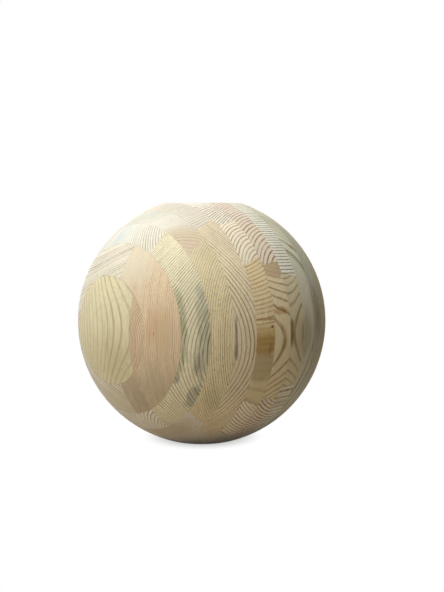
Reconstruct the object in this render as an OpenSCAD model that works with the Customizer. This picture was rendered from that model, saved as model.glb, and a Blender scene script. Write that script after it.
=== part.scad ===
// Wooden ball, turned from a block of glued pine boards.
//
// The block is a row of upright boards, here called lamellas, that are glued face to face
// across Y. Each lamella is made of staves glued edge to edge across X, and its seams are
// staggered against those of its neighbours. The whole block is turned to a ball about Z
// and faced off flat at the top and at the base, so it stands still.
//
// Millimetres, +Z up. The origin is the middle of the base flat.

/* [Ball] */
// Diameter of the ball at its middle
ball_d = 250; // [225:1:275]
// Diameter of the flat at the top
top_flat_d = 76; // [50:1:110]
// Diameter of the flat that the ball stands on
base_flat_d = 76; // [50:1:110]
// Width of the sanded edge round each flat
eased_edge = 1.5; // [0.5:0.1:3]

/* [Lamellas] */
// Thickness of each board, planed
lamella_t = 19; // [17:0.5:24]
// Narrowest strip that a seam may leave at the surface of the ball
least_strip = 8; // [4:1:15]

/* [Seams of the front lamellas, across X] */
// Lamella 1, the front one
seams_01 = [36]; // [-120:1:120]
// Lamella 2
seams_02 = [15]; // [-120:1:120]
// Lamella 3
seams_03 = [-24, 37]; // [-120:1:120]
// Lamella 4
seams_04 = [-42, 69]; // [-120:1:120]
// Lamella 5
seams_05 = [-31, 59]; // [-120:1:120]
// Lamella 6
seams_06 = [-84, -12, 68, 102]; // [-120:1:120]
// Lamella 7, in front of the middle
seams_07 = [-74, 12, 107]; // [-120:1:120]

/* [Seams of the back lamellas, across X] */
// Lamella 8, behind the middle
seams_08 = [-52, 34, 113]; // [-120:1:120]
// Lamella 9
seams_09 = [-64, 24]; // [-120:1:120]
// Lamella 10
seams_10 = [-90, -15, 62]; // [-120:1:120]
// Lamella 11
seams_11 = [-48, 38]; // [-120:1:120]
// Lamella 12
seams_12 = [-70, 8]; // [-120:1:120]
// Lamella 13
seams_13 = [-30, 40]; // [-120:1:120]
// Lamella 14, the back one
seams_14 = [-14]; // [-120:1:120]

/* [Hidden] */
// Sides that a round face is drawn with
$fn = 256;

ball_r = ball_d / 2;

// Height of the ball's centre over the base flat, and of the top flat over the centre
centre_h = sqrt(ball_r ^ 2 - (base_flat_d / 2) ^ 2);
crown_h = sqrt(ball_r ^ 2 - (top_flat_d / 2) ^ 2);
full_h = centre_h + crown_h;

// Lamellas on each side of the glue plane at Y = 0
lamellas_a_side = ceil(ball_r / lamella_t);
LAMELLAS = [1 : 2 * lamellas_a_side];

SEAMS = [
    seams_01, seams_02, seams_03, seams_04, seams_05, seams_06, seams_07,
    seams_08, seams_09, seams_10, seams_11, seams_12, seams_13, seams_14
];

// Tones of pine, from the sapwood to the resin-rich heart
pale = "#e6dcbc";
golden = "#ddcf94";
beige = "#dac59a";
salmon = "#d9b48c";
brown = "#bf9f73";

TONES = [
    [golden, brown],
    [pale, salmon],
    [golden, pale, beige],
    [pale, brown, golden],
    [pale, beige, beige],
    [beige, pale, pale, beige, golden],
    [pale, beige, salmon, beige],
    [beige, golden, pale, beige],
    [salmon, beige, pale],
    [pale, golden, beige, pale],
    [beige, pale, golden],
    [golden, pale, beige],
    [pale, salmon, beige],
    [beige, pale]
];

function two_digits(number) = str(number < 10 ? "0" : "", number);
function stave_name(lamella, stave) = str("lamella_", two_digits(lamella), "_stave_", stave);

// Glue plane at the front of a lamella
function front_y(lamella) = (lamella - 1 - lamellas_a_side) * lamella_t;

// Half the width of the ball across a lamella, at the face nearer to the middle
function half_width(lamella) =
    let (y = front_y(lamella), inner_y = y < 0 ? y + lamella_t : y)
    sqrt(ball_r ^ 2 - inner_y ^ 2);

// The layout follows the middle of the block, so thinner boards repeat it outwards
function layout(lamella) =
    let (count = len(SEAMS))
    (lamella - 1 - lamellas_a_side + 2 * count + count / 2) % count;

function seams(lamella) =
    [for (x = SEAMS[layout(lamella)]) if (abs(x) < half_width(lamella) - least_strip) x];

// Edges of a lamella's staves across X, from past the left of the ball to past its right
function edges(lamella) = [-ball_d, each seams(lamella), ball_d];

function stave_count(lamella) = len(seams(lamella)) + 1;

function tone(lamella, stave) =
    let (tones = TONES[layout(lamella)])
    tones[(stave - 1) % len(tones)];

// What is left above a flat once sandpaper has taken the sharp edge off it. The slope lies
// halfway between the flat and the ball, which meet at a blunt angle.
module above_flat(flat_d) {
    ball_slope = asin(flat_d / ball_d);
    sanded_r = (flat_d - eased_edge) / 2;
    cylinder(r1 = sanded_r, r2 = sanded_r + full_h / tan(ball_slope / 2), h = full_h);
}

// The ball as it leaves the lathe
module turned_ball() {
    intersection() {
        translate([0, 0, centre_h])
            sphere(d = ball_d);
        above_flat(base_flat_d);
        translate([0, 0, full_h])
            mirror([0, 0, 1])
                above_flat(top_flat_d);
    }
}

// The square-edged blank that one stave is before turning
module stave_blank(lamella, stave) {
    left = edges(lamella)[stave - 1];
    right = edges(lamella)[stave];
    translate([left, front_y(lamella), 0])
        cube([right - left, lamella_t, full_h]);
}

module stave(lamella, stave) {
    color(tone(lamella, stave))
        intersection() {
            turned_ball();
            stave_blank(lamella, stave);
        }
}

for (lamella = LAMELLAS)
    for (stave = [1 : stave_count(lamella)])
        stave(lamella, stave);
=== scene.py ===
# %% [markdown]
# # A ball turned from glued pine
#
# The ball is turned on a lathe from a block of pine offcuts. The block is a row of upright
# boards, here called lamellas, that are glued face to face, and each board is itself a few
# staves glued edge to edge. When the lathe rounds the block, it cuts through the growth rings
# of every stave at its own angle. That is the whole look of the ball: lines that meet like
# marquetry, though nothing is inlaid.
#
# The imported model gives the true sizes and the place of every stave. This first cell loads it,
# and notes its outer box before anything is added.

# %% Load the frame
import math
from collections import namedtuple

import bpy
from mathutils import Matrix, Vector


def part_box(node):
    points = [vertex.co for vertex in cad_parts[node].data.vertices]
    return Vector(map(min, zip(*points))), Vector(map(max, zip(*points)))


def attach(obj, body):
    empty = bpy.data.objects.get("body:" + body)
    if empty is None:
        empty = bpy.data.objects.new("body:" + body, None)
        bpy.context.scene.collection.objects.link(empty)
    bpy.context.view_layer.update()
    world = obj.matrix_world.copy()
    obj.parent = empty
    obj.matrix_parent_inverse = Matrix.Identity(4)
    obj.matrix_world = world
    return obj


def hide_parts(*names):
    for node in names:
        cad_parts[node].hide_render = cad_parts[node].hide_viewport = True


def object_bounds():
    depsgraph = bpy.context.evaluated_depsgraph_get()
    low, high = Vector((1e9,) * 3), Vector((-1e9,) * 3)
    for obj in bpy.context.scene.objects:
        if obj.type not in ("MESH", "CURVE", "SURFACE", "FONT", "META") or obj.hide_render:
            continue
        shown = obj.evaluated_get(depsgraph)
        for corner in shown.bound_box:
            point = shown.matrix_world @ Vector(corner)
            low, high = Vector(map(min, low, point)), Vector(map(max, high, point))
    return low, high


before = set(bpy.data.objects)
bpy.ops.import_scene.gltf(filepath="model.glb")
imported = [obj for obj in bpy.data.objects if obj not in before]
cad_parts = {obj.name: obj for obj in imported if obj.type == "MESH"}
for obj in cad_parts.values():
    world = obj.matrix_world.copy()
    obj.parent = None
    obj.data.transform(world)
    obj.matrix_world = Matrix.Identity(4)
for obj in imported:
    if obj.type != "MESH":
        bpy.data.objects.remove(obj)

cad_low, cad_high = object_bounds()
stave_names = sorted(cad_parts)
print("the frame has", len(stave_names), "staves, up to z =", round(cad_high.z * 1000, 1), "mm")

# %% [markdown]
# ## Sizes
#
# Blender works in metres, while a woodworker thinks in millimetres, so one constant turns the
# one into the other. The ball's radius and the height of its middle come from the frame's box.
# Both flats are the same size, so the flat's radius follows from how much of the ball is
# missing above and below. Only the sanded edge round each flat has to be written down.

# %% Measure the ball
MM = 0.001
ball_radius = (cad_high.x - cad_low.x) / 2
full_height = cad_high.z - cad_low.z
middle_height = cad_low.z + full_height / 2
flat_radius = math.sqrt(ball_radius ** 2 - (full_height / 2) ** 2)
eased_edge = 1.5 * MM
print("ball", round(2000 * ball_radius, 1), "mm across, flats", round(2000 * flat_radius, 1), "mm")

# %% [markdown]
# ## One helper for every node
#
# Geometry Nodes and shader trees are built the same way: add a node, set its options, then give
# each input either a value or a link from an earlier node. This one function does all of that.
# It also lays the nodes out in rows, so that the tree can be read in Blender's editor. Most nodes
# here are shader nodes, whose full names start alike, so "Math" is short for "ShaderNodeMath".
#
# Every tree here is a group with named inputs and outputs, so a second function makes the
# sockets, and lets a builder fill in what lies between them.

# %% Add a node, make a group
NODES_A_ROW = 9
NODE_STEP = (220, -330)


def add(tree, kind, inputs=None, **settings):
    """Adds a node. An input gets a value, a socket or a node, which means its first output."""
    made = tree.nodes.new(kind if "Node" in kind else "ShaderNode" + kind)
    row, column = divmod(len(tree.nodes) - 1, NODES_A_ROW)
    made.location = (column * NODE_STEP[0], row * NODE_STEP[1])
    for name, value in settings.items():
        setattr(made, name, value)
    for key, value in (inputs or {}).items():
        if isinstance(value, bpy.types.Node):
            value = value.outputs[0]
        if isinstance(value, bpy.types.NodeSocket):
            tree.links.new(value, made.inputs[key])
        else:
            made.inputs[key].default_value = value
    return made


def new_group(name, inputs, outputs, build, kind="ShaderNodeTree"):
    """A group whose sockets are listed by their kind. The builder returns what the outputs give."""
    group = bpy.data.node_groups.new(name, kind)
    for direction, sockets in (("INPUT", inputs), ("OUTPUT", outputs)):
        for socket_kind, socket_names in sockets.items():
            for socket_name in socket_names.split(", "):
                group.interface.new_socket(socket_name, in_out=direction,
                                           socket_type="NodeSocket" + socket_kind)
    given = add(group, "NodeGroupInput").outputs
    add(group, "NodeGroupOutput", build(group, given))
    print(name, "has", len(group.nodes), "nodes")
    return group


# %% [markdown]
# ## From nodes to a plain mesh
#
# A Geometry Nodes group works on an object, so one with an empty mesh carries it. Each input is
# set by its socket's identifier. What comes out is kept as an ordinary mesh, and the modifier goes.

# %% Run a group


def plain_mesh(name, group, values):
    """Runs a Geometry Nodes group with these inputs and keeps its result as an ordinary mesh."""
    carrier = bpy.data.objects.new(name, bpy.data.meshes.new(name + "_carrier"))
    bpy.context.scene.collection.objects.link(carrier)
    modifier = carrier.modifiers.new("Geometry Nodes", "NODES")
    modifier.node_group = group
    for socket in group.interface.items_tree:
        if socket.in_out == "INPUT":
            modifier[socket.identifier] = values[socket.name]
    depsgraph = bpy.context.evaluated_depsgraph_get()
    mesh = bpy.data.meshes.new_from_object(carrier.evaluated_get(depsgraph))
    mesh.name = name
    carrier.modifiers.remove(modifier)
    carrier.data = mesh
    return carrier


# %% [markdown]
# ## The lathe: a ball with two flats
#
# The turned shape follows a rule. It is a sphere, cut by two wide cones. A cone's small end is
# the flat, and its slope, halfway between the flat and the ball, is the edge that sandpaper
# leaves. A round body could also be spun from a drawn profile, but the cuts are just what the
# chisel does, and each one stays a named size.
#
# The tree is turned by half a step about the vertical, so that no row of its points lies in the
# glue plane through the middle of the ball. A cut through a row of points leaves slivers.

# %% The turned ball as a Geometry Nodes tree
SEGMENTS = 360


def build_turned_ball(tree, given):
    """A sphere intersected with two cones whose small ends are the flats."""
    half_segments = add(tree, "Math", {0: given["Segments"], 1: 2}, operation="DIVIDE")
    half_height = add(tree, "Math", {0: given["Full height"], 1: 2}, operation="DIVIDE")
    half_step = add(tree, "Math", {0: math.pi, 1: given["Segments"]}, operation="DIVIDE")
    turn = add(tree, "CombineXYZ", {"Z": half_step})
    lift = add(tree, "CombineXYZ", {"Z": half_height})
    top = add(tree, "CombineXYZ", {"Z": given["Full height"]})
    half_ease = add(tree, "Math", {0: given["Eased edge"], 1: 2}, operation="DIVIDE")
    small_end = add(tree, "Math", {0: given["Flat radius"], 1: half_ease}, operation="SUBTRACT")
    wide_end = add(tree, "Math", {0: small_end, 1: given["Cone spread"]}, operation="ADD")
    sphere = add(tree, "GeometryNodeMeshUVSphere",
                 {"Segments": given["Segments"], "Rings": half_segments,
                  "Radius": given["Ball radius"]})
    cone = add(tree, "GeometryNodeMeshCone",
               {"Vertices": given["Segments"], "Radius Bottom": small_end,
                "Radius Top": wide_end, "Depth": given["Full height"]})
    upside_down = add(tree, "GeometryNodeTransform",
                      {"Geometry": cone, "Rotation": (math.pi, 0, 0), "Translation": top})
    placed = [
        add(tree, "GeometryNodeTransform",
            {"Geometry": sphere, "Translation": lift, "Rotation": turn}),
        add(tree, "GeometryNodeTransform", {"Geometry": cone, "Rotation": turn}),
        add(tree, "GeometryNodeTransform", {"Geometry": upside_down, "Rotation": turn}),
    ]
    cut = add(tree, "GeometryNodeMeshBoolean", operation="INTERSECT", solver="MANIFOLD")
    for shape in placed:
        tree.links.new(shape.outputs[0], cut.inputs["Mesh 2"])
    return {"Geometry": add(tree, "GeometryNodeRealizeInstances", {"Geometry": cut})}


ball_group = new_group(
    "turned_ball",
    {"Float": "Ball radius, Flat radius, Eased edge, Full height, Cone spread", "Int": "Segments"},
    {"Geometry": "Geometry"}, build_turned_ball, kind="GeometryNodeTree")
slope = math.asin(flat_radius / ball_radius) / 2
turned_ball = plain_mesh("turned_ball", ball_group, {
    "Ball radius": ball_radius,
    "Flat radius": flat_radius,
    "Eased edge": eased_edge,
    "Full height": full_height,
    "Cone spread": full_height / math.tan(slope),
    "Segments": SEGMENTS,
})
print("the turned ball has", len(turned_ball.data.polygons), "faces")

# %% [markdown]
# ## Forty-four staves, one tree
#
# Every stave is the same operation: what the turned ball and a square-edged blank have in
# common. So one tree makes them all, and only the two corners of the blank change. The corners
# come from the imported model's own boxes. On a glued side the box ends exactly at the glue. On a
# side that the lathe has rounded, the blank is pushed out past the ball, so that it cuts
# nothing there.
#
# The edges of the cut are kept sharp and the rest is shaded smooth. The limit lies between
# one step of the sphere and the bend at the sanded edge.

# %% The stave as a Geometry Nodes tree
SHARP_BEND = math.radians(5)


def build_turned_stave(tree, given):
    """What the turned ball has in common with one square-edged blank."""
    low, high = given["Blank low corner"], given["Blank high corner"]
    size = add(tree, "VectorMath", {0: high, 1: low}, operation="SUBTRACT")
    both = add(tree, "VectorMath", {0: high, 1: low}, operation="ADD")
    middle = add(tree, "VectorMath", {0: both, "Scale": 0.5}, operation="SCALE")
    block = add(tree, "GeometryNodeMeshCube", {"Size": size})
    blank = add(tree, "GeometryNodeTransform", {"Geometry": block, "Translation": middle})
    ball = add(tree, "GeometryNodeObjectInfo", {"Object": given["Turned ball"]})
    cut = add(tree, "GeometryNodeMeshBoolean", operation="INTERSECT", solver="MANIFOLD")
    tree.links.new(ball.outputs["Geometry"], cut.inputs["Mesh 2"])
    tree.links.new(blank.outputs[0], cut.inputs["Mesh 2"])
    bend = add(tree, "GeometryNodeInputMeshEdgeAngle")
    gentle = add(tree, "FunctionNodeCompare",
                 {0: bend.outputs["Unsigned Angle"], 1: given["Sharp bend"]},
                 data_type="FLOAT", operation="LESS_THAN")
    round_faces = add(tree, "GeometryNodeSetShadeSmooth", {"Geometry": cut}, domain="FACE")
    sharp_rims = add(tree, "GeometryNodeSetShadeSmooth",
                     {"Geometry": round_faces, "Shade Smooth": gentle}, domain="EDGE")
    whole = add(tree, "GeometryNodeRealizeInstances", {"Geometry": sharp_rims})
    return {"Geometry": add(tree, "GeometryNodeSetMaterial",
                            {"Geometry": whole, "Material": given["Finish"]})}


stave_group = new_group(
    "turned_stave",
    {"Object": "Turned ball", "Vector": "Blank low corner, Blank high corner",
     "Float": "Sharp bend", "Material": "Finish"},
    {"Geometry": "Geometry"}, build_turned_stave, kind="GeometryNodeTree")


def blank_corners(name):
    """The stave's box, pushed out past the ball on each side that the lathe has rounded."""
    low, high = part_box(name)
    lamella, stave = name.split("_stave_")
    last = sum(1 for other in stave_names if other.startswith(lamella + "_stave_"))
    far = 2 * ball_radius
    if int(stave) == 1:
        low.x = -far
    if int(stave) == last:
        high.x = far
    if lamella == stave_names[0].split("_stave_")[0]:
        low.y = -far
    if lamella == stave_names[-1].split("_stave_")[0]:
        high.y = far
    low.z, high.z = -far, far
    return low, high


# %% [markdown]
# ## Colours
#
# Colours are written as the sRGB hex values that a colour picker shows. Blender's shaders
# reckon in linear light, so one function turns the one into the other.

# %% From sRGB hex to linear light


def linear(hex_colour):
    """The linear red, green, blue and alpha of an sRGB colour such as '#e6dcbc'."""
    channels = [int(hex_colour[i:i + 2], 16) / 255 for i in (1, 3, 5)]
    return [c / 12.92 if c <= 0.04045 else ((c + 0.055) / 1.055) ** 2.4 for c in channels] + [1.0]


print("a middle grey is", round(linear("#808080")[0], 2), "in linear light")

# %% [markdown]
# ## Growth rings, step one: how far from the heart
#
# A tree grows in layers round its heart, the pith, so the pattern on a turned board follows from
# one question: how far is this point from the heart? The heart of most staves lies outside the
# stave, as a line that leans a little. The group works that distance out in millimetres. A trunk
# tapers, so the rings close in with height. It is never quite round either, so noise, drawn out
# along the grain, moves the point a little first: slow waves for the shape of the trunk, and
# quick and fine ones for the unrest of a single line. Because the pattern is solid, the rings on
# every face of a stave meet, on the flats too.

# %% Distance from the heart
# Each kind of wave: one over its length in mm across and along the grain, and its share
WAVES = (
    ((1 / 38, 1 / 38, 1 / 120), 1.0),
    ((1 / 7, 1 / 7, 1 / 22), 0.16),
    ((1 / 2.4, 1 / 2.4, 1 / 9), 0.06),
)
# How far, in mm, the slowest wave moves a point where the waviness is 1
WAVE_REACH = 4.0
NOISE_MIDDLE = 0.5


def streaky_noise(tree, point, scale, seed, detail):
    """Noise drawn out along the grain, different for each seed."""
    drawn_out = add(tree, "VectorMath", {0: point, 1: scale}, operation="MULTIPLY")
    apart = add(tree, "VectorMath", {0: drawn_out, 1: seed}, operation="ADD")
    return add(tree, "TexNoise", {"Vector": apart, "Scale": 1, "Detail": detail})


def build_distance(tree, given):
    """Distance in mm from a leaning heart line, with the wobble of a real trunk."""
    place = add(tree, "TexCoord").outputs["Object"]
    from_middle = add(tree, "VectorMath", {0: place, 1: (0, 0, middle_height)},
                      operation="SUBTRACT")
    point = add(tree, "VectorMath", {0: from_middle, "Scale": 1 / MM}, operation="SCALE")
    height = add(tree, "SeparateXYZ", {0: point}).outputs["Z"]
    leaned = add(tree, "VectorMath", {0: given["Lean"], "Scale": height}, operation="SCALE")
    heart = add(tree, "VectorMath", {0: leaned, 1: given["Heart"]}, operation="ADD")
    moved = add(tree, "VectorMath", {0: point, 1: heart}, operation="SUBTRACT")
    for stretch, share in WAVES:
        noise = streaky_noise(tree, point, stretch, given["Seed"], 1)
        centred = add(tree, "VectorMath",
                      {0: noise.outputs["Color"], 1: (NOISE_MIDDLE,) * 3}, operation="SUBTRACT")
        reach = add(tree, "Math", {0: given["Waviness"], 1: WAVE_REACH * share},
                    operation="MULTIPLY")
        shove = add(tree, "VectorMath", {0: centred, "Scale": reach}, operation="SCALE")
        moved = add(tree, "VectorMath", {0: moved, 1: shove}, operation="ADD")
    level = add(tree, "VectorMath", {0: moved, 1: (1, 1, 0)}, operation="MULTIPLY")
    length = add(tree, "VectorMath", {0: level}, operation="LENGTH")
    tapered = add(tree, "Math", {0: given["Taper"], 1: height, 2: length.outputs["Value"]},
                  operation="MULTIPLY_ADD")
    return {"Point": point, "Distance": tapered}


distance_group = new_group(
    "distance_from_heart",
    {"Vector": "Heart, Lean", "Float": "Taper, Waviness, Seed"},
    {"Vector": "Point", "Float": "Distance"}, build_distance)

# %% [markdown]
# ## Growth rings, step two: one year after another
#
# Divided by the ring width, the distance becomes a count of years. Young trees grow fast and old
# ones slowly, so the width may change from ring to ring. The fraction of the count says where in
# the year a point lies: pale, soft earlywood first, then latewood that darkens slowly and ends
# abruptly, where the tree stopped for winter. The whole number picks how dark that year's line
# is, because dry years leave bold lines and wet ones faint lines, and a slow noise does the same
# for spells of several years.

# %% Latewood lines
YEARS_A_SPELL = 3.5
UNEVENNESS = 0.5
LATEWOOD_FULL = 0.86
WINTER_START = 0.93
# The part of a noise's range over which a spell turns wet, and over which the ink turns full
WET_SPELL = (0.35, 0.65)
FULL_INK = (0.35, 0.6)
# A wet year and a wet spell each take up to this share of a line that is all faint years
WET_SHARE = 0.5
# A line's ink is never even: its patches are 5 mm across and 24 mm along the grain
LEAST_INK = 0.65
PATCHY = (1 / 5, 1 / 5, 1 / 24)


def build_rings(tree, given):
    """Latewood from 0 to 1: a slow rise in each ring, and a sharp end."""
    from_there = add(tree, "Math", {0: given["Distance"], 1: given["At distance"]},
                     operation="SUBTRACT")
    steady = add(tree, "Math", {0: from_there, 1: given["Ring width"]}, operation="DIVIDE")
    centimetres = add(tree, "Math", {0: from_there, 1: 10}, operation="DIVIDE")
    squared = add(tree, "Math", {0: centimetres, 1: centimetres}, operation="MULTIPLY")
    years = add(tree, "Math", {0: squared, 1: given["Ring change"], 2: steady},
                operation="MULTIPLY_ADD")
    shifted = add(tree, "Math", {0: years, 1: given["First ring"]}, operation="ADD")
    spell = add(tree, "Math", {0: shifted, 1: YEARS_A_SPELL}, operation="DIVIDE")
    spell_seed = add(tree, "Math", {0: spell, 1: given["Seed"]}, operation="ADD")
    weather = add(tree, "TexNoise", {"W": spell_seed, "Scale": 1, "Detail": 1},
                  noise_dimensions="1D")
    weather_centred = add(tree, "Math", {0: weather, 1: NOISE_MIDDLE}, operation="SUBTRACT")
    uneven = add(tree, "Math", {0: weather_centred, 1: UNEVENNESS, 2: shifted},
                 operation="MULTIPLY_ADD")
    season = add(tree, "Math", {0: uneven}, operation="FRACT")
    year = add(tree, "Math", {0: uneven}, operation="FLOOR")
    rise = add(tree, "MapRange",
               {"Value": season, "From Min": given["Latewood starts"], "From Max": LATEWOOD_FULL},
               interpolation_type="SMOOTHSTEP")
    winter = add(tree, "MapRange",
                 {"Value": season, "From Min": WINTER_START, "From Max": 1.0,
                  "To Min": 1.0, "To Max": 0.0}, interpolation_type="SMOOTHSTEP")
    line = add(tree, "Math", {0: rise, 1: winter}, operation="MULTIPLY")
    year_seed = add(tree, "Math", {0: year, 1: given["Seed"]}, operation="ADD")
    luck = add(tree, "TexWhiteNoise", {"W": year_seed}, noise_dimensions="1D")
    wet_spell = add(tree, "MapRange",
                    {"Value": weather, "From Min": WET_SPELL[0], "From Max": WET_SPELL[1]})
    wetness = add(tree, "Math", {0: luck, 1: wet_spell}, operation="ADD")
    faint = add(tree, "Math", {0: wetness, 1: given["Faint years"]}, operation="MULTIPLY")
    kept = add(tree, "Math", {0: faint, 1: -WET_SHARE, 2: 1.0}, operation="MULTIPLY_ADD")
    drawn_out = add(tree, "VectorMath", {0: given["Point"], 1: PATCHY}, operation="MULTIPLY")
    broken = add(tree, "TexNoise", {"Vector": drawn_out, "Scale": 1, "Detail": 1})
    ink = add(tree, "MapRange",
              {"Value": broken, "From Min": FULL_INK[0], "From Max": FULL_INK[1],
               "To Min": LEAST_INK})
    strength = add(tree, "Math", {0: kept, 1: given["Boldness"]}, operation="MULTIPLY")
    inked = add(tree, "Math", {0: strength, 1: ink}, operation="MULTIPLY")
    return {"Latewood": add(tree, "Math", {0: line, 1: inked}, operation="MULTIPLY")}


ring_group = new_group(
    "growth_rings",
    {"Vector": "Point",
     "Float": "Distance, At distance, Ring width, Ring change, First ring, "
              "Latewood starts, Boldness, Faint years, Seed"},
    {"Float": "Latewood"}, build_rings)

# %% [markdown]
# ## The glue
#
# The joints are tight, so the glue shows only as a hairline a little darker than the wood. It
# could be a groove, but the lathe cut wood and glue at one stroke, so the joint is flush and
# belongs in the colour. The group measures how far a point is from the nearest side of its own
# blank. A hairline of 0.1 mm would not show at this distance, so it is drawn wider and faint.

# %% Glue hairline
HAIRLINE_FULL = 0.05
HAIRLINE_GONE = 0.30


def build_glue(tree, given):
    """1 at a glued side of the blank, and 0 from a third of a millimetre away."""
    from_low = add(tree, "VectorMath", {0: given["Point"], 1: given["Blank low corner"]},
                   operation="SUBTRACT")
    from_high = add(tree, "VectorMath", {0: given["Blank high corner"], 1: given["Point"]},
                    operation="SUBTRACT")
    nearer = add(tree, "VectorMath", {0: from_low, 1: from_high}, operation="MINIMUM")
    sides = add(tree, "SeparateXYZ", {0: nearer})
    nearest = add(tree, "Math", {0: sides.outputs["X"], 1: sides.outputs["Y"]}, operation="MINIMUM")
    return {"Glue": add(tree, "MapRange",
                        {"Value": nearest, "From Min": HAIRLINE_FULL, "From Max": HAIRLINE_GONE,
                         "To Min": 1.0, "To Max": 0.0})}


glue_group = new_group(
    "glue_hairline",
    {"Vector": "Point, Blank low corner, Blank high corner"}, {"Float": "Glue"}, build_glue)

# %% [markdown]
# ## Bare pine, turned and sanded
#
# Fine sandpaper leaves pine silky rather than glossy: light spreads over it softly, and only a
# glancing look brings up a sheen. Latewood is denser, so it takes a little more polish and
# stands a few hundredths of a millimetre proud, because the paper eats the soft wood faster.
# Between the rings run fibres, drawn out along the grain, slow clouds of warmer wood, and the
# short dark dashes of resin ducts. A fibre is 0.03 mm thick and a duct 0.2 mm, both too fine to
# show, so fibres are drawn as bundles a millimetre wide, and ducts a few times their width.
#
# The group mixes these over three colours: earlywood, latewood, and the heartwood near the pith.

# %% Pine colour, polish and relief
HEARTWOOD_COLOUR = linear("#dccba9")
HEARTWOOD_FADE = 14.0
DUCT_COLOUR = linear("#8d6c45")
# Scales are one over a length in mm, and each range is the part of the noise that counts
FIBRE_SCALE = (1 / 0.9, 1 / 0.9, 1 / 40)
FIBRE_RANGE = (0.25, 0.75)
FIBRE_CONTRAST = 0.12
FIBRE_RELIEF = 0.4
CLOUD_SCALE = (1 / 26, 1 / 26, 1 / 70)
CLOUD_RANGE = (0.3, 0.7)
CLOUD_CONTRAST = 0.05
DUCT_SCALE = (1 / 0.8, 1 / 0.8, 1 / 4)
DUCT_RANGE = (0.64, 0.74)
EARLYWOOD_ROUGHNESS = 0.65
LATEWOOD_ROUGHNESS = 0.55
# A Mix node keeps its number, vector and colour sockets side by side; these are the colour ones
MIX_A, MIX_B, MIX_RESULT = 6, 7, 2


def build_pine(tree, given):
    """Colour, roughness and relief of bare pine from its rings."""
    heart_edge = add(tree, "Math", {0: given["Heartwood radius"], 1: HEARTWOOD_FADE},
                     operation="ADD")
    heartwood = add(tree, "MapRange",
                    {"Value": given["Distance"], "From Min": given["Heartwood radius"],
                     "From Max": heart_edge, "To Min": 1.0, "To Max": 0.0},
                    interpolation_type="SMOOTHSTEP")
    ground = add(tree, "Mix",
                 {"Factor": heartwood, MIX_A: given["Earlywood colour"], MIX_B: HEARTWOOD_COLOUR},
                 data_type="RGBA")
    lined = add(tree, "Mix",
                {"Factor": given["Latewood"], MIX_A: ground.outputs[MIX_RESULT],
                 MIX_B: given["Latewood colour"]}, data_type="RGBA")
    fibres = streaky_noise(tree, given["Point"], FIBRE_SCALE, given["Seed"], 2)
    clouds = streaky_noise(tree, given["Point"], CLOUD_SCALE, given["Seed"], 1)
    dashes = streaky_noise(tree, given["Point"], DUCT_SCALE, given["Seed"], 0)
    fibre_shade = add(tree, "MapRange",
                      {"Value": fibres, "From Min": FIBRE_RANGE[0], "From Max": FIBRE_RANGE[1],
                       "To Min": 1 - FIBRE_CONTRAST, "To Max": 1 + FIBRE_CONTRAST})
    cloud_shade = add(tree, "MapRange",
                      {"Value": clouds, "From Min": CLOUD_RANGE[0], "From Max": CLOUD_RANGE[1],
                       "To Min": 1 - CLOUD_CONTRAST, "To Max": 1 + CLOUD_CONTRAST})
    shade = add(tree, "Math", {0: fibre_shade, 1: cloud_shade}, operation="MULTIPLY")
    shaded = add(tree, "HueSaturation", {"Color": lined.outputs[MIX_RESULT], "Value": shade})
    duct = add(tree, "MapRange",
               {"Value": dashes, "From Min": DUCT_RANGE[0], "From Max": DUCT_RANGE[1],
                "To Max": given["Resin ducts"]})
    ducted = add(tree, "Mix", {"Factor": duct, MIX_A: shaded, MIX_B: DUCT_COLOUR}, data_type="RGBA")
    roughness = add(tree, "MapRange",
                    {"Value": given["Latewood"], "To Min": EARLYWOOD_ROUGHNESS,
                     "To Max": LATEWOOD_ROUGHNESS})
    relief = add(tree, "Math", {0: fibres, 1: FIBRE_RELIEF, 2: given["Latewood"]},
                 operation="MULTIPLY_ADD")
    return {"Colour": ducted.outputs[MIX_RESULT], "Roughness": roughness, "Relief": relief}


pine_group = new_group(
    "pine_wood",
    {"Vector": "Point", "Color": "Earlywood colour, Latewood colour",
     "Float": "Distance, Latewood, Heartwood radius, Resin ducts, Seed"},
    {"Color": "Colour", "Float": "Roughness, Relief"}, build_pine)

# %% [markdown]
# ## Marks in the wood
#
# No board is one even pattern. Sapwood that stayed wet takes blue stain, a mould that greys it
# in streaks along the grain and the rings. A branch leaves a knot of brown, resin-soaked wood,
# and a wound leaves a resin mark. All of them are a region of the wood with a place, a reach and
# a ragged edge, so one group draws them, and only the numbers and the colour differ. A stain
# tints the wood and leaves its lines to be seen, as a multiplied colour does, while a knot
# covers them. The same group also lays painted shade: a darker tint at the right of the ball,
# where it turns away from the lamps.

# %% A mark in the wood
RAGGED_SCALE = (1 / 5, 1 / 5, 1 / 16)
RAGGEDNESS = 0.6
STREAK_THICKNESS = 0.8
STREAK_WIDTH = 4
STREAK_LENGTH = 16
# The part of the noise's range over which a streak starts
STREAK_RANGE = (0.42, 0.56)


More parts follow.
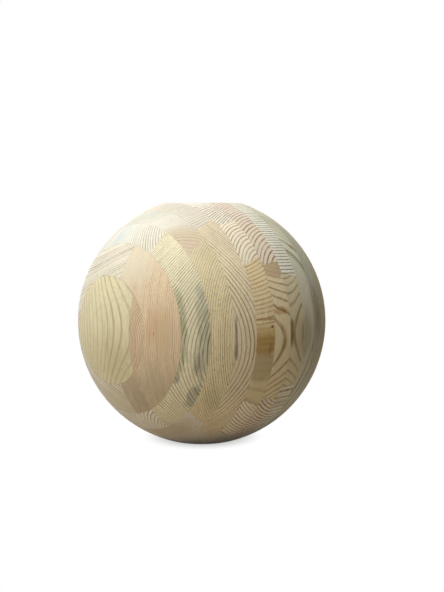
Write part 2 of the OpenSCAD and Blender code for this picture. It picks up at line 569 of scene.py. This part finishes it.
def build_mark(tree, given):
    """Lays a mark's colour over the wood inside a ragged region."""
    offset = add(tree, "VectorMath", {0: given["Point"], 1: given["Centre"]}, operation="SUBTRACT")
    parts_of_reach = add(tree, "VectorMath", {0: offset, 1: given["Reach"]}, operation="DIVIDE")
    away = add(tree, "VectorMath", {0: parts_of_reach}, operation="LENGTH")
    unrest = streaky_noise(tree, given["Point"], RAGGED_SCALE, given["Seed"], 2)
    centred = add(tree, "Math", {0: unrest, 1: NOISE_MIDDLE}, operation="SUBTRACT")
    ragged = add(tree, "Math", {0: centred, 1: RAGGEDNESS, 2: away.outputs["Value"]},
                 operation="MULTIPLY_ADD")
    full = add(tree, "Math", {0: 1.0, 1: given["Softness"]}, operation="SUBTRACT")
    inside = add(tree, "MapRange",
                 {"Value": ragged, "From Min": full, "From Max": 1.0, "To Min": 1.0, "To Max": 0.0},
                 interpolation_type="SMOOTHSTEP")
    layer = add(tree, "Math", {0: given["Distance"], 1: STREAK_THICKNESS}, operation="DIVIDE")
    flat = add(tree, "SeparateXYZ", {0: given["Point"]})
    length = add(tree, "Math", {0: flat.outputs["Z"], 1: STREAK_LENGTH}, operation="DIVIDE")
    width = add(tree, "Math", {0: flat.outputs["X"], 1: STREAK_WIDTH}, operation="DIVIDE")
    grain = add(tree, "CombineXYZ", {"X": layer, "Y": width, "Z": length})
    along = add(tree, "TexNoise", {"Vector": grain, "Scale": 1, "Detail": 2})
    clear = add(tree, "MapRange",
                {"Value": along, "From Min": STREAK_RANGE[0], "From Max": STREAK_RANGE[1],
                 "To Min": given["Streaks"], "To Max": 0.0})
    kept = add(tree, "Math", {0: 1.0, 1: clear}, operation="SUBTRACT")
    streaked = add(tree, "Math", {0: inside, 1: kept}, operation="MULTIPLY")
    amount = add(tree, "Math", {0: streaked, 1: given["Strength"]}, operation="MULTIPLY")
    tinted = add(tree, "Mix", {"Factor": 1.0, MIX_A: given["Colour"], MIX_B: given["Mark colour"]},
                 data_type="RGBA", blend_type="MULTIPLY")
    inked = add(tree, "Mix",
                {"Factor": given["Cover"], MIX_A: tinted.outputs[MIX_RESULT],
                 MIX_B: given["Mark colour"]}, data_type="RGBA")
    marked = add(tree, "Mix",
                 {"Factor": amount, MIX_A: given["Colour"], MIX_B: inked.outputs[MIX_RESULT]},
                 data_type="RGBA")
    return {"Colour": marked.outputs[MIX_RESULT]}


mark_group = new_group(
    "mark_in_the_wood",
    {"Color": "Colour, Mark colour", "Vector": "Point, Centre, Reach",
     "Float": "Distance, Strength, Softness, Streaks, Cover, Seed"},
    {"Color": "Colour"}, build_mark)

# %% [markdown]
# ## Where the marks are
#
# Each mark has its centre, from the middle of the ball, and its reach, both across X, Y and up in
# millimetres. Then come its colour, how strong it is, what share of its reach the soft edge
# takes, how much of it is broken into streaks, and how much it covers the lines under it.

# %% The marks of each stave
Mark = namedtuple("Mark", "centre reach colour strength softness streaks cover")
MARKS = {number: [Mark(*row) for row in rows] for number, rows in {
    # wood that is greyer and plainer low on the front board and beside it
    "01_1": (((14, -118, -24), (46, 20, 40), "#d5ccac", 0.6, 0.9, 0.2, 0.3),),
    "02_1": (((0, -105, -70), (34, 34, 24), "#d8ceab", 0.75, 0.7, 0.3, 0.8),),
    # the beige ends of the second board, its greyer foot, and a tiny hook of bark
    "02_2": (((24, -107, 69), (42, 40, 52), "#e9e0c5", 0.9, 0.9, 0.3, 0.9),
             ((50, -98, -52), (46, 40, 52), "#c4b89a", 0.85, 0.9, 0.4, 0.8),
             ((62, -107, 8), (16, 30, 28), "#dfbb90", 0.55, 0.9, 0, 0.6),
             ((66, -104, 2), (9, 9, 90), "#e0cda2", 0.6, 0.7, 0.9, 0.9),
             ((25, -103, -64), (13.5, 40, 60), "#a69d8a", 0.5, 0.2, 0.3, 0.8),
             ((60, -110, 2), (0.9, 0.9, 2.4), "#8f6a4a", 0.6, 0.7, 0, 1)),
    # sound, nearly ringless wood at the left of the third board's middle stave
    "03_2": (((-20, -85, 92), (38, 30, 40), "#dfe0d2", 0.75, 0.7, 0.3, 1),
             ((-24, -88, 84), (20, 24, 26), "#ccd3cf", 0.7, 0.9, 0.4, 1)),
    # blue stain in bands along the grain, with sound yellow wood between them
    "03_3": (((78, -94, 5), (14, 4.8, 58), "#b9c3b5", 1, 0.6, 0.5, 0),
             ((92, -79.5, 3), (18, 7, 60), "#c9ced1", 0.95, 0.5, 0.5, 0),
             ((87, -84, -16), (6, 4, 30), "#c3c8cc", 0.95, 0.6, 0.5, 0),
             ((73, -94, -38), (5, 4, 9), "#b8b8c2", 0.8, 0.6, 0.4, 0),
             ((78, -79, -57), (16, 6, 19), "#b3b8c0", 1, 0.5, 0.5, 0)),
    # paler and browner ends on the fourth board
    "04_2": (((34, -72, -96), (60, 24, 26), "#d8c3a0", 0.6, 0.8, 0, 0.5),
             ((-10, -60, 108), (36, 30, 36), "#ecf0f0", 0.95, 0.9, 0, 0),
             ((62, -70, 80), (13, 16, 12), "#f0dcd0", 0.6, 0.8, 0.3, 0.4)),
    "04_3": (((86, -64, -62), (26, 16, 26), "#e8ebea", 0.9, 0.9, 0.2, 0),
             ((72, -62, 82), (26, 20, 26), "#eeeef2", 0.9, 0.9, 0.2, 0)),
    # a paler top on the fifth board, and a grey streak with a reddish edge
    "05_3": (((74, -48, 86), (26, 20, 26), "#eff0f2", 0.9, 0.9, 0.2, 0),
             ((110, -59, 3), (1.5, 2.4, 22), "#c9a283", 0.5, 0.6, 0.4, 0.6),
             ((111, -56, -6), (1.6, 3.2, 36), "#84847a", 0.8, 0.5, 0.2, 0.7)),
    # a branch cut lengthwise: the plain wood below it, the amber wood round it, a reddish ring
    # over it, and its dark tip
    "06_5": (((115, -27, -42), (34, 28, 32), "#e4d3aa", 0.65, 0.3, 0, 1),
             ((118, -28, -28), (30, 28, 20), "#c2ae83", 0.7, 0.5, 0, 0.9),
             ((121, -29, -3), (30, 26, 17), "#dac087", 0.9, 0.6, 0, 0.9),
             ((121, -29, -9), (30, 24, 12), "#b9965a", 0.9, 0.5, 0.25, 0.95),
             ((122, -23, -14), (3, 3, 9), "#96683a", 0.6, 0.7, 0.3, 0.9),
             ((121, -29, 14), (30, 26, 1.4), "#a9744c", 0.6, 0.5, 0, 0.8),
             ((123, -22, 7), (2, 1.6, 1.7), "#5e4a34", 0.9, 0.6, 0, 1)),
    # a paler, plainer top on the boards beside the middle
    "06_3": (((18, -28, 119), (28, 30, 10), "#efe7d4", 0.8, 0.6, 0, 1),),
    "07_3": (((40, -9, 117), (44, 24, 14), "#e9e2d6", 0.5, 0.6, 0, 0.5),),
    # rings that swerve round the knot, and a plain square of wood above them
    "07_4": (((110, -9, 60), (14, 14, 10.5), "#ccb18a", 0.9, 0.15, 0.2, 1),
             ((123, -11, 21), (5, 12, 5), "#cfa878", 0.7, 0.5, 0.2, 0),
             ((123, -7, -9), (6, 4, 9), "#cdc29f", 1, 0.7, 0.2, 0)),
    # a fuzzy patch low on the eighth board
    "08_3": (((110, 6, -62), (30, 30, 24), "#d3c4a0", 0.7, 0.4, 0.9, 1),),
    # painted shade as a darker tint at the right, the dark line between two boards' rings, a resin
    # mark
    "08_4": (((124, 14, -6), (8, 11, 32), "#e2ded9", 0.8, 0.8, 0.2, 0),
             ((125, 2, 0), (7, 2.6, 18), "#94763f", 0.75, 0.4, 0.3, 0.7)),
    "09_3": (((122, 24, -4), (8, 16, 34), "#d9d3c9", 0.9, 0.7, 0.2, 0),
             ((93, 34, 77), (6, 6, 3.4), "#a0844f", 0.6, 0.8, 0, 0.8)),
    # painted shade as a darker tint at the right, where the ball turns away from the lamps
    "10_4": (((113, 47, 16), (12, 14, 36), "#d6cdbb", 0.95, 0.7, 0.4, 0),),
}.items()}
print(sum(map(len, MARKS.values())), "marks on", len(MARKS), "staves")

# %% [markdown]
# ## The log book
#
# Every stave came from another tree, or from another side of one, so each has its own line here.
# The heart is measured from the middle of the ball, across X and Y, in millimetres. The lean is
# how far it moves for each millimetre up, and the taper is how much the rings close in. A far
# heart gives straight lines, and a near one gives arches. `ring` is the width of one ring at the
# distance `at` from the heart, `change` is how fast that width changes, and `first` shifts the
# rings by a part of a year.
#
# Not all of these numbers were chosen by hand. A separate program fitted the lines of the 21
# staves that face the camera, a few ring widths were changed afterwards, and a script rounded
# them all. The lines of the other 23 staves were written one by one.

# %% Where each tree's heart lay
Growth = namedtuple("Growth", "heart lean taper ring first at change", defaults=(0, 0))
GROWTH = {number: Growth(*row) for number, row in {
    "01_1": ((34, -41), (-0.08, 0.08), -0.04, 2.95, 0.9, 90),
    "01_2": ((58, -117), (0.12, -0.3), 0.01, 1.6, 0),
    "02_1": ((-24, -23), (-0.03, -0.13), -0.03, 1.6, 0.4, 80),
    "02_2": ((121, -74), (-0.09, 0.07), 0.03, 1.7, 0.9, 80),
    "03_1": ((-247, 87), (-0.1, 0.03), 0.03, 2, 0.4),
    "03_2": ((-29, -43), (-0.91, -0.13), 0.06, 2.4, 0.7, 100),
    "03_3": ((-36, -57), (0.1, -0.17), 0.01, 1.8, 0.7, 100),
    "04_1": ((-160, -20), (0.05, 0.02), 0, 2.3, 0.1),
    "04_2": ((119, -154), (-0.04, 0.15), -0.01, 2.05, 0.3, 130),
    "04_3": ((184, -26), (0.01, -0.09), 0.05, 1.9, 0.9, 100, -0.1),
    "05_1": ((-70, 10), (-0.08, 0.05), 0, 2.8, 0.4),
    "05_2": ((8, -44), (-0.43, 0.28), 0.02, 1.9, 0.6, 60, -0.05),
    "05_3": ((42, 50), (0.08, 0), -0.01, 2.05, 0, 110, -0.15),
    "06_1": ((-40, -60), (0.03, 0.1), 0, 2.1, 0.2),
    "06_2": ((-90, 70), (0.15, -0.06), 0, 1.9, 0.6),
    "06_3": ((66, -178), (-0.4, 1.33), 0.05, 2.1, 0.8),
    "06_4": ((146, -10), (-0.18, -0.16), 0, 2.85, 0, 70, -0.15),
    "06_5": ((10, -8), (0.65, -0.48), -0.06, 4, 0.7, 100),
    "07_1": ((-60, 55), (-0.05, 0.02), 0, 2.5, 0.3),
    "07_2": ((-30, -90), (0.2, 0.1), 0, 2.2, 0.7),
    "07_3": ((185, 24), (-0.06, -0.05), -0.05, 2.75, 0.7, 120),
    "07_4": ((50, 6), (-0.02, -0.08), -0.05, 2.55, 0.5, 70, -0.1),
    "08_1": ((-150, 10), (0.04, 0.06), 0, 2, 0.5),
    "08_2": ((0, 80), (-0.1, -0.04), 0, 3.1, 0.1),
    "08_3": ((-19, 3), (0.24, 0.02), 0.02, 2.45, 0.7, 100, 0.05),
    "08_4": ((69, -2), (-0.04, 0.01), -0.05, 2.5, 0.5, 50),
    "09_1": ((-60, -10), (0.06, 0.09), 0, 2.4, 0.8),
    "09_2": ((-110, 60), (-0.12, 0.03), 0, 1.8, 0.2),
    "09_3": ((141, 2), (0.12, 0.19), -0.08, 3.8, 0.2, 70, 0.35),
    "10_1": ((-30, 40), (0.1, 0), 0, 2.6, 0.6),
    "10_2": ((40, 130), (-0.03, 0.08), 0, 2, 0.3),
    "10_3": ((10, -40), (0.25, -0.1), 0, 2.9, 0.9),
    "10_4": ((117, 2), (-0.21, 0.26), -0.03, 1.9, 0.4),
    "11_1": ((-120, 120), (0.08, -0.05), 0, 1.7, 0.4),
    "11_2": ((20, 10), (0.05, 0.12), 0, 2.4, 0.1),
    "11_3": ((170, -13), (-0.08, 0.1), -0.01, 2.75, 0.7, 110),
    "12_1": ((-90, 20), (-0.15, 0.05), 0, 2.7, 0.7),
    "12_2": ((-160, 160), (0.02, 0.03), 0, 1.6, 0.2),
    "12_3": ((30, 30), (0.12, -0.08), 0, 2.2, 0.5),
    "13_1": ((-10, 50), (-0.2, 0.06), 0, 2, 0.8),
    "13_2": ((-70, 250), (0.05, 0.1), 0, 2.4, 0.3),
    "13_3": ((110, 60), (-0.06, -0.12), 0, 1.9, 0.6),
    "14_1": ((-60, 70), (0.1, 0.04), 0, 3, 0.1),
    "14_2": ((40, 20), (-0.08, 0.02), 0, 2.6, 0.4),
}.items()}
widths = [growth.ring for growth in GROWTH.values()]
print(len(GROWTH), "hearts, with rings from", min(widths), "to", max(widths), "mm wide")

# %% [markdown]
# ## The look of each stave
#
# Pine runs from cream-white sapwood over straw and beige to the salmon of wood near the heart.
# For every stave this table gives the tone by which it was sorted, the colour of its earlywood
# and of its latewood, from what part of the year the latewood darkens, how bold the lines are,
# how much that differs from year to year, how wavy the lines run, and how many resin ducts show.
# The last number is the radius of the darker heartwood, where the stave reaches it.
#
# The colours of the staves that face the camera began with a program's measurements and were
# then changed one by one. Those of the others were written one by one and evened out by a script.

# %% Colours and lines of each stave
Looks = namedtuple("Looks", "tone wood line late bold faint wave ducts core", defaults=(0.1, 0))
LOOKS = {number: Looks(*row) for number, row in {
    "01_1": ("golden", "#e6dbb2", "#a5803a", 0.60, 0.53, 0.6, 0.5),
    "01_2": ("brown", "#e3cba5", "#9a7450", 0.50, 0.95, 0.4, 0.5),
    "02_1": ("pale", "#eae2c9", "#74501a", 0.45, 1.00, 1.0, 0.5),
    "02_2": ("salmon", "#ead3ad", "#b48660", 0.40, 0.85, 0.8, 0.6, 0.03),
    "03_1": ("golden", "#e5e2d1", "#9c8252", 0.50, 0.65, 0.5, 0.5),
    "03_2": ("pale", "#efe9d3", "#886d40", 0.50, 0.80, 0.5, 0.4),
    "03_3": ("beige", "#f4ebc6", "#82612c", 0.50, 1.00, 0.6, 0.6, 0.2),
    "04_1": ("pale", "#e8e2cd", "#9f7e49", 0.60, 0.63, 0.5, 0.8),
    "04_2": ("brown", "#e9e3cf", "#957a5c", 0.45, 0.42, 0.6, 1.4, 0.1, 93),
    "04_3": ("golden", "#f2e3b7", "#9c7c42", 0.50, 0.90, 0.6, 0.5, 0.35),
    "05_1": ("pale", "#eae2cb", "#977a4c", 0.55, 0.72, 0.4, 0.7),
    "05_2": ("beige", "#e5ddc8", "#957544", 0.50, 0.66, 0.5, 0.8),
    "05_3": ("beige", "#f5e5c0", "#8c6636", 0.50, 0.92, 0.6, 0.5, 0.3),
    "06_1": ("beige", "#eadcbc", "#956d38", 0.60, 0.63, 0.5, 0.6),
    "06_2": ("pale", "#ece4cb", "#8b6b40", 0.55, 0.81, 0.5, 0.5),
    "06_3": ("pale", "#f5ecd3", "#6a3a0c", 0.50, 1.00, 0.2, 0.4),
    "06_4": ("beige", "#fff2d5", "#8a5a18", 0.50, 0.89, 0.5, 0.6),
    "06_5": ("golden", "#f3dfaf", "#a0651a", 0.50, 0.80, 0.6, 0.7),
    "07_1": ("pale", "#ece2c7", "#906c39", 0.60, 0.72, 0.5, 0.6),
    "07_2": ("beige", "#eadbb9", "#926933", 0.60, 0.63, 0.6, 0.7),
    "07_3": ("salmon", "#f6e6ca", "#7a3e10", 0.50, 0.98, 0.4, 0.6),
    "07_4": ("beige", "#f2e1b6", "#92622a", 0.60, 0.80, 0.3, 0.6),
    "08_1": ("beige", "#e9dab7", "#9b7340", 0.55, 0.54, 0.6, 0.7),
    "08_2": ("golden", "#ebddb4", "#976f2d", 0.60, 0.63, 0.5, 0.9),
    "08_3": ("pale", "#fffbe4", "#754a04", 0.45, 0.90, 0.3, 0.5),
    "08_4": ("beige", "#eddfb6", "#8b7040", 0.55, 0.73, 0.4, 0.6),
    "09_1": ("salmon", "#ecd8b5", "#9e6a38", 0.55, 0.54, 0.5, 0.6),
    "09_2": ("beige", "#eadcbd", "#8f6b39", 0.60, 0.72, 0.4, 0.7),
    "09_3": ("pale", "#e9e3c5", "#7d6e42", 0.50, 1.00, 0.8, 0.8),
    "10_1": ("pale", "#ece2c9", "#967643", 0.55, 0.72, 0.5, 0.7),
    "10_2": ("golden", "#ebdeb5", "#957233", 0.60, 0.72, 0.4, 0.5),
    "10_3": ("beige", "#eadbba", "#8c6333", 0.55, 0.81, 0.5, 0.8),
    "10_4": ("pale", "#e2dcc0", "#62562f", 0.50, 1.00, 0.6, 0.8),
    "11_1": ("beige", "#e8daba", "#936c37", 0.55, 0.63, 0.5, 0.5),
    "11_2": ("pale", "#ece3cb", "#906e46", 0.60, 0.81, 0.4, 0.8),
    "11_3": ("golden", "#e0d2ab", "#8f7a48", 0.50, 0.55, 0.6, 0.8),
    "12_1": ("golden", "#eadcb1", "#9b7836", 0.60, 0.63, 0.5, 0.6),
    "12_2": ("pale", "#ece3ca", "#9b8255", 0.50, 0.54, 0.6, 0.5),
    "12_3": ("beige", "#eadab8", "#8b622f", 0.60, 0.81, 0.4, 0.7),
    "13_1": ("pale", "#ece4cc", "#8f6f40", 0.55, 0.81, 0.4, 0.6),
    "13_2": ("salmon", "#ecd7b4", "#a5703d", 0.45, 0.36, 0.7, 0.6),
    "13_3": ("beige", "#e9dab8", "#8e693a", 0.60, 0.72, 0.5, 0.5),
    "14_1": ("beige", "#e9dbb9", "#966f38", 0.60, 0.63, 0.4, 0.6),
    "14_2": ("pale", "#ebe1c6", "#9b7a4a", 0.60, 0.54, 0.5, 0.6),
}.items()}
print("tones:", ", ".join(sorted({looks.tone for looks in LOOKS.values()})))

# %% [markdown]
# ## One material for each stave
#
# A material is these groups in a row, fed with one line of each table. Then the marks are laid
# over the colour, and the glue comes last, because it lies on every stave's edge alike.

# %% The pine material of one stave
SEED_STEP = 13.7
WOOD_IOR = 1.5
SHEEN = 0.05
RELIEF_DEPTH = 0.05 * MM
GLUE_TINT = 0.15
GLUE_COLOUR = linear("#7d6343")


def new_material(name):
    """A material and its empty node tree."""
    material = bpy.data.materials.new(name)
    material.use_nodes = True
    material.node_tree.nodes.clear()
    return material, material.node_tree


def pine_material(number, low, high):
    """Bare pine, turned and fine-sanded: soft sheen, latewood a little darker and smoother."""
    growth = GROWTH[number]
    looks = LOOKS[number]
    seed = SEED_STEP * list(GROWTH).index(number)
    material, tree = new_material("turned_and_sanded_pine_" + number)
    distance = add(tree, "Group", {
        "Heart": (*growth.heart, 0),
        "Lean": (*growth.lean, 0),
        "Taper": growth.taper,
        "Waviness": looks.wave,
        "Seed": seed,
    }, node_tree=distance_group)
    point = distance.outputs["Point"]
    where = {"Point": point, "Distance": distance.outputs["Distance"], "Seed": seed}
    rings = add(tree, "Group", {
        **where,
        "At distance": growth.at,
        "Ring width": growth.ring,
        "Ring change": growth.change,
        "First ring": growth.first,
        "Latewood starts": looks.late,
        "Boldness": looks.bold,
        "Faint years": looks.faint,
    }, node_tree=ring_group)
    pine = add(tree, "Group", {
        **where,
        "Latewood": rings,
        "Earlywood colour": linear(looks.wood),
        "Latewood colour": linear(looks.line),
        "Heartwood radius": looks.core,
        "Resin ducts": looks.ducts,
    }, node_tree=pine_group)
    colour = pine.outputs["Colour"]
    for mark in MARKS.get(number, ()):
        colour = add(tree, "Group", {
            **where,
            "Colour": colour,
            "Mark colour": linear(mark.colour),
            "Centre": mark.centre,
            "Reach": mark.reach,
            "Strength": mark.strength,
            "Softness": mark.softness,
            "Streaks": mark.streaks,
            "Cover": mark.cover,
        }, node_tree=mark_group)
    glue = add(tree, "Group", {
        "Point": point,
        "Blank low corner": low / MM,
        "Blank high corner": high / MM,
    }, node_tree=glue_group)
    tint = add(tree, "Math", {0: glue, 1: GLUE_TINT}, operation="MULTIPLY")
    glued = add(tree, "Mix", {"Factor": tint, MIX_A: colour, MIX_B: GLUE_COLOUR}, data_type="RGBA")
    bump = add(tree, "Bump", {"Height": pine.outputs["Relief"], "Distance": RELIEF_DEPTH})
    surface = add(tree, "BsdfPrincipled", {
        "Base Color": glued.outputs[MIX_RESULT],
        "Roughness": pine.outputs["Roughness"],
        "Normal": bump,
        "IOR": WOOD_IOR,
        "Specular IOR Level": SHEEN,
    })
    add(tree, "OutputMaterial", {"Surface": surface})
    return material


# %% [markdown]
# ## Turn the staves
#
# Each stave is made by the one tree, gets its own pine, and takes the place of its plain twin in
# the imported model. The whole ball was only needed to cut them from, so it goes at the end.

# %% Forty-four turned staves
for node_name in stave_names:
    number = node_name.replace("lamella_", "").replace("stave_", "")
    low, high = blank_corners(node_name)
    piece = plain_mesh("turned_" + node_name, stave_group, {
        "Turned ball": turned_ball,
        "Blank low corner": low,
        "Blank high corner": high,
        "Sharp bend": SHARP_BEND,
        "Finish": pine_material(number, low, high),
    })
    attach(piece, "root")
    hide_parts(node_name)
bpy.data.objects.remove(turned_ball)

# %% [markdown]
# ## Floor and backdrop
#
# The ball stands on a white paper sweep. What the camera sees of it should be pure white, with a
# soft shadow only where the ball stands, and that is what the paper's own colour gives: round the
# foot it is half plain white paper that takes the shadow, and further out it fades to white at
# full strength. Reflections see the same white. Light that lands on the paper meets something
# else: a greyer paper on a small table, because a large white floor would throw too much light up
# at the ball. Past the table's edge the room is dark. Round the ball's foot that colour is dark
# too, a painted shade that darkens what the paper throws up at the underside of the ball.

# %% Paper floor
FLOOR_HALF = 6.0
WHITE = (1, 1, 1, 1)
DARK_ROOM_AND_PAINTED_SHADE = (0.05, 0.05, 0.05, 1)
BOUNCE_COLOUR = linear("#bcb0a1")
# The painted shade round the foot sits off the middle, away from the lamp at the left
FOOT_SHADE_CENTRE = (0.020, 0.023, 0)
FOOT_SHADE = 0.05
FOOT_SHADE_GONE = 0.09
TABLE_EDGE = 0.25
ROOM_FROM = 0.7
SHADOW_RADIUS = 0.03
WHITE_RADIUS = 0.065
LEAST_WHITE = 0.5
floor_mesh = bpy.data.meshes.new("floor")
corners = [(x * FLOOR_HALF, y * FLOOR_HALF, 0) for x, y in ((-1, -1), (1, -1), (1, 1), (-1, 1))]
floor_mesh.from_pydata(corners, [], [(0, 1, 2, 3)])
floor = bpy.data.objects.new("floor", floor_mesh)
bpy.context.scene.collection.objects.link(floor)


def seen_directly(tree):
    """1 for a ray from the camera, a reflection or a clear pane, and 0 for light that lands."""
    rays = add(tree, "LightPath").outputs
    either = add(tree, "Math", {0: rays["Is Camera Ray"], 1: rays["Is Glossy Ray"]},
                 operation="MAXIMUM")
    return add(tree, "Math", {0: either, 1: rays["Is Transmission Ray"]}, operation="MAXIMUM")


def paper_material():
    """White paper sweep, matt: it takes the shadow near the ball and fades to pure white."""
    material, tree = new_material("white_paper_sweep")
    seen = add(tree, "BsdfDiffuse", {"Color": WHITE})
    glow = add(tree, "Emission", {"Color": WHITE, "Strength": 1.0})
    place = add(tree, "TexCoord").outputs["Object"]
    away = add(tree, "VectorMath", {0: place}, operation="LENGTH").outputs["Value"]
    fade = add(tree, "MapRange",
               {"Value": away, "From Min": SHADOW_RADIUS, "From Max": WHITE_RADIUS,
                "To Min": LEAST_WHITE},
               interpolation_type="SMOOTHSTEP")
    faded = add(tree, "MixShader", {"Fac": fade, 1: seen, 2: glow})
    # Painted shade: the paper that light lands on is dark round the ball's foot
    from_shade = add(tree, "VectorMath", {0: place, 1: FOOT_SHADE_CENTRE}, operation="DISTANCE")
    out_from_foot = add(tree, "MapRange",
                        {"Value": from_shade.outputs["Value"], "From Min": FOOT_SHADE,
                         "From Max": FOOT_SHADE_GONE})
    foot = add(tree, "Mix", {"Factor": out_from_foot, MIX_A: DARK_ROOM_AND_PAINTED_SHADE, MIX_B: BOUNCE_COLOUR},
               data_type="RGBA")
    table_end = add(tree, "MapRange",
                    {"Value": away, "From Min": TABLE_EDGE, "From Max": ROOM_FROM})
    table = add(tree, "Mix",
                {"Factor": table_end, MIX_A: foot.outputs[MIX_RESULT], MIX_B: DARK_ROOM_AND_PAINTED_SHADE},
                data_type="RGBA")
    bounce = add(tree, "BsdfDiffuse", {"Color": table.outputs[MIX_RESULT]})
    choice = add(tree, "MixShader", {"Fac": seen_directly(tree), 1: bounce, 2: faded})
    add(tree, "OutputMaterial", {"Surface": choice})
    return material


floor_mesh.materials.append(paper_material())

# %% White backdrop
world = bpy.data.worlds.new("studio")
bpy.context.scene.world = world
world.use_nodes = True
world.node_tree.nodes.clear()
backdrop = add(world.node_tree, "Background",
               {"Color": WHITE, "Strength": seen_directly(world.node_tree)})
add(world.node_tree, "OutputWorld", {"Surface": backdrop})
print("floor", 2 * FLOOR_HALF, "m across, pure white from", WHITE_RADIUS, "m off the middle")

# %% [markdown]
# ## Camera
#
# The camera looks at the ball a little from above, far enough away that the ball hardly
# narrows towards its far side. A ball shows the same outline from everywhere, so its seams are
# what tell the angle. The camera aims past the ball's middle to place it in the frame, which
# keeps the lens itself unshifted.

# %% Camera
AZIMUTH = math.radians(49)
ELEVATION = math.radians(6.9)
CAMERA_DISTANCE = 1.005
FOCAL_LENGTH = 60
AIM_RIGHT = 20.4 * MM
AIM_UP = 24.7 * MM
back = Vector((math.sin(AZIMUTH) * math.cos(ELEVATION),
               -math.cos(AZIMUTH) * math.cos(ELEVATION), math.sin(ELEVATION)))
right = Vector((math.cos(AZIMUTH), math.sin(AZIMUTH), 0))
up = back.cross(right)
middle = Vector((0, 0, middle_height))
camera_data = bpy.data.cameras.new("camera")
camera_data.lens = FOCAL_LENGTH
camera = bpy.data.objects.new("camera", camera_data)
camera.location = middle + back * CAMERA_DISTANCE
aim = middle + right * AIM_RIGHT + up * AIM_UP
camera.rotation_euler = (aim - camera.location).to_track_quat("-Z", "Y").to_euler()
bpy.context.scene.collection.objects.link(camera)
bpy.context.scene.camera = camera
print("camera at", tuple(round(value, 3) for value in camera.location))

# %% [markdown]
# ## Light
#
# Four large softboxes light the ball as a tabletop studio does. One hangs straight above, one
# stands at the left and one over the camera. The fourth stands behind the ball, a little to the
# left, and lights only its far side. Large boxes give soft shading, so the wood's own colours
# carry the picture. The first two are daylight, a touch cooler than the others. All of them are
# placed relative to the camera, and it doesn't see them.

# %% Softboxes
LAMP_DISTANCE = 2.0
LAMP_SIDE = 1.6
DAYLIGHT = (0.96, 1.0, 1.1)
WARM_WHITE = (1.02, 1.0, 0.96)
SOFTBOXES = {
    # to the right, towards the camera, up, colour, watts
    "overhead": (0.0, 0.0, 1.0, DAYLIGHT, 20.5),
    "left": (-0.8, 0.1, 0.5, DAYLIGHT, 19),
    "front": (-0.28, 0.6, 0.75, WARM_WHITE, 24),
    "behind": (-0.2, -1.0, 0.1, WARM_WHITE, 24),
}
to_camera = Vector((back.x, back.y, 0)).normalized()
for name, (to_right, to_front, upwards, colour, watts) in SOFTBOXES.items():
    lamp_data = bpy.data.lights.new(name, "AREA")
    lamp_data.size = LAMP_SIDE
    lamp_data.energy = watts
    lamp_data.color = colour
    lamp = bpy.data.objects.new(name, lamp_data)
    way = (right * to_right + to_camera * to_front + Vector((0, 0, upwards))).normalized()
    lamp.location = middle + way * LAMP_DISTANCE
    lamp.rotation_euler = (-way).to_track_quat("-Z", "Y").to_euler()
    lamp.visible_camera = False
    bpy.context.scene.collection.objects.link(lamp)
print(len(SOFTBOXES), "softboxes,", sum(values[-1] for values in SOFTBOXES.values()), "W in all")

# %% [markdown]
# ## View
#
# The Standard view shows colours as they are written.

# %% Standard view
bpy.context.scene.view_settings.view_transform = "Standard"
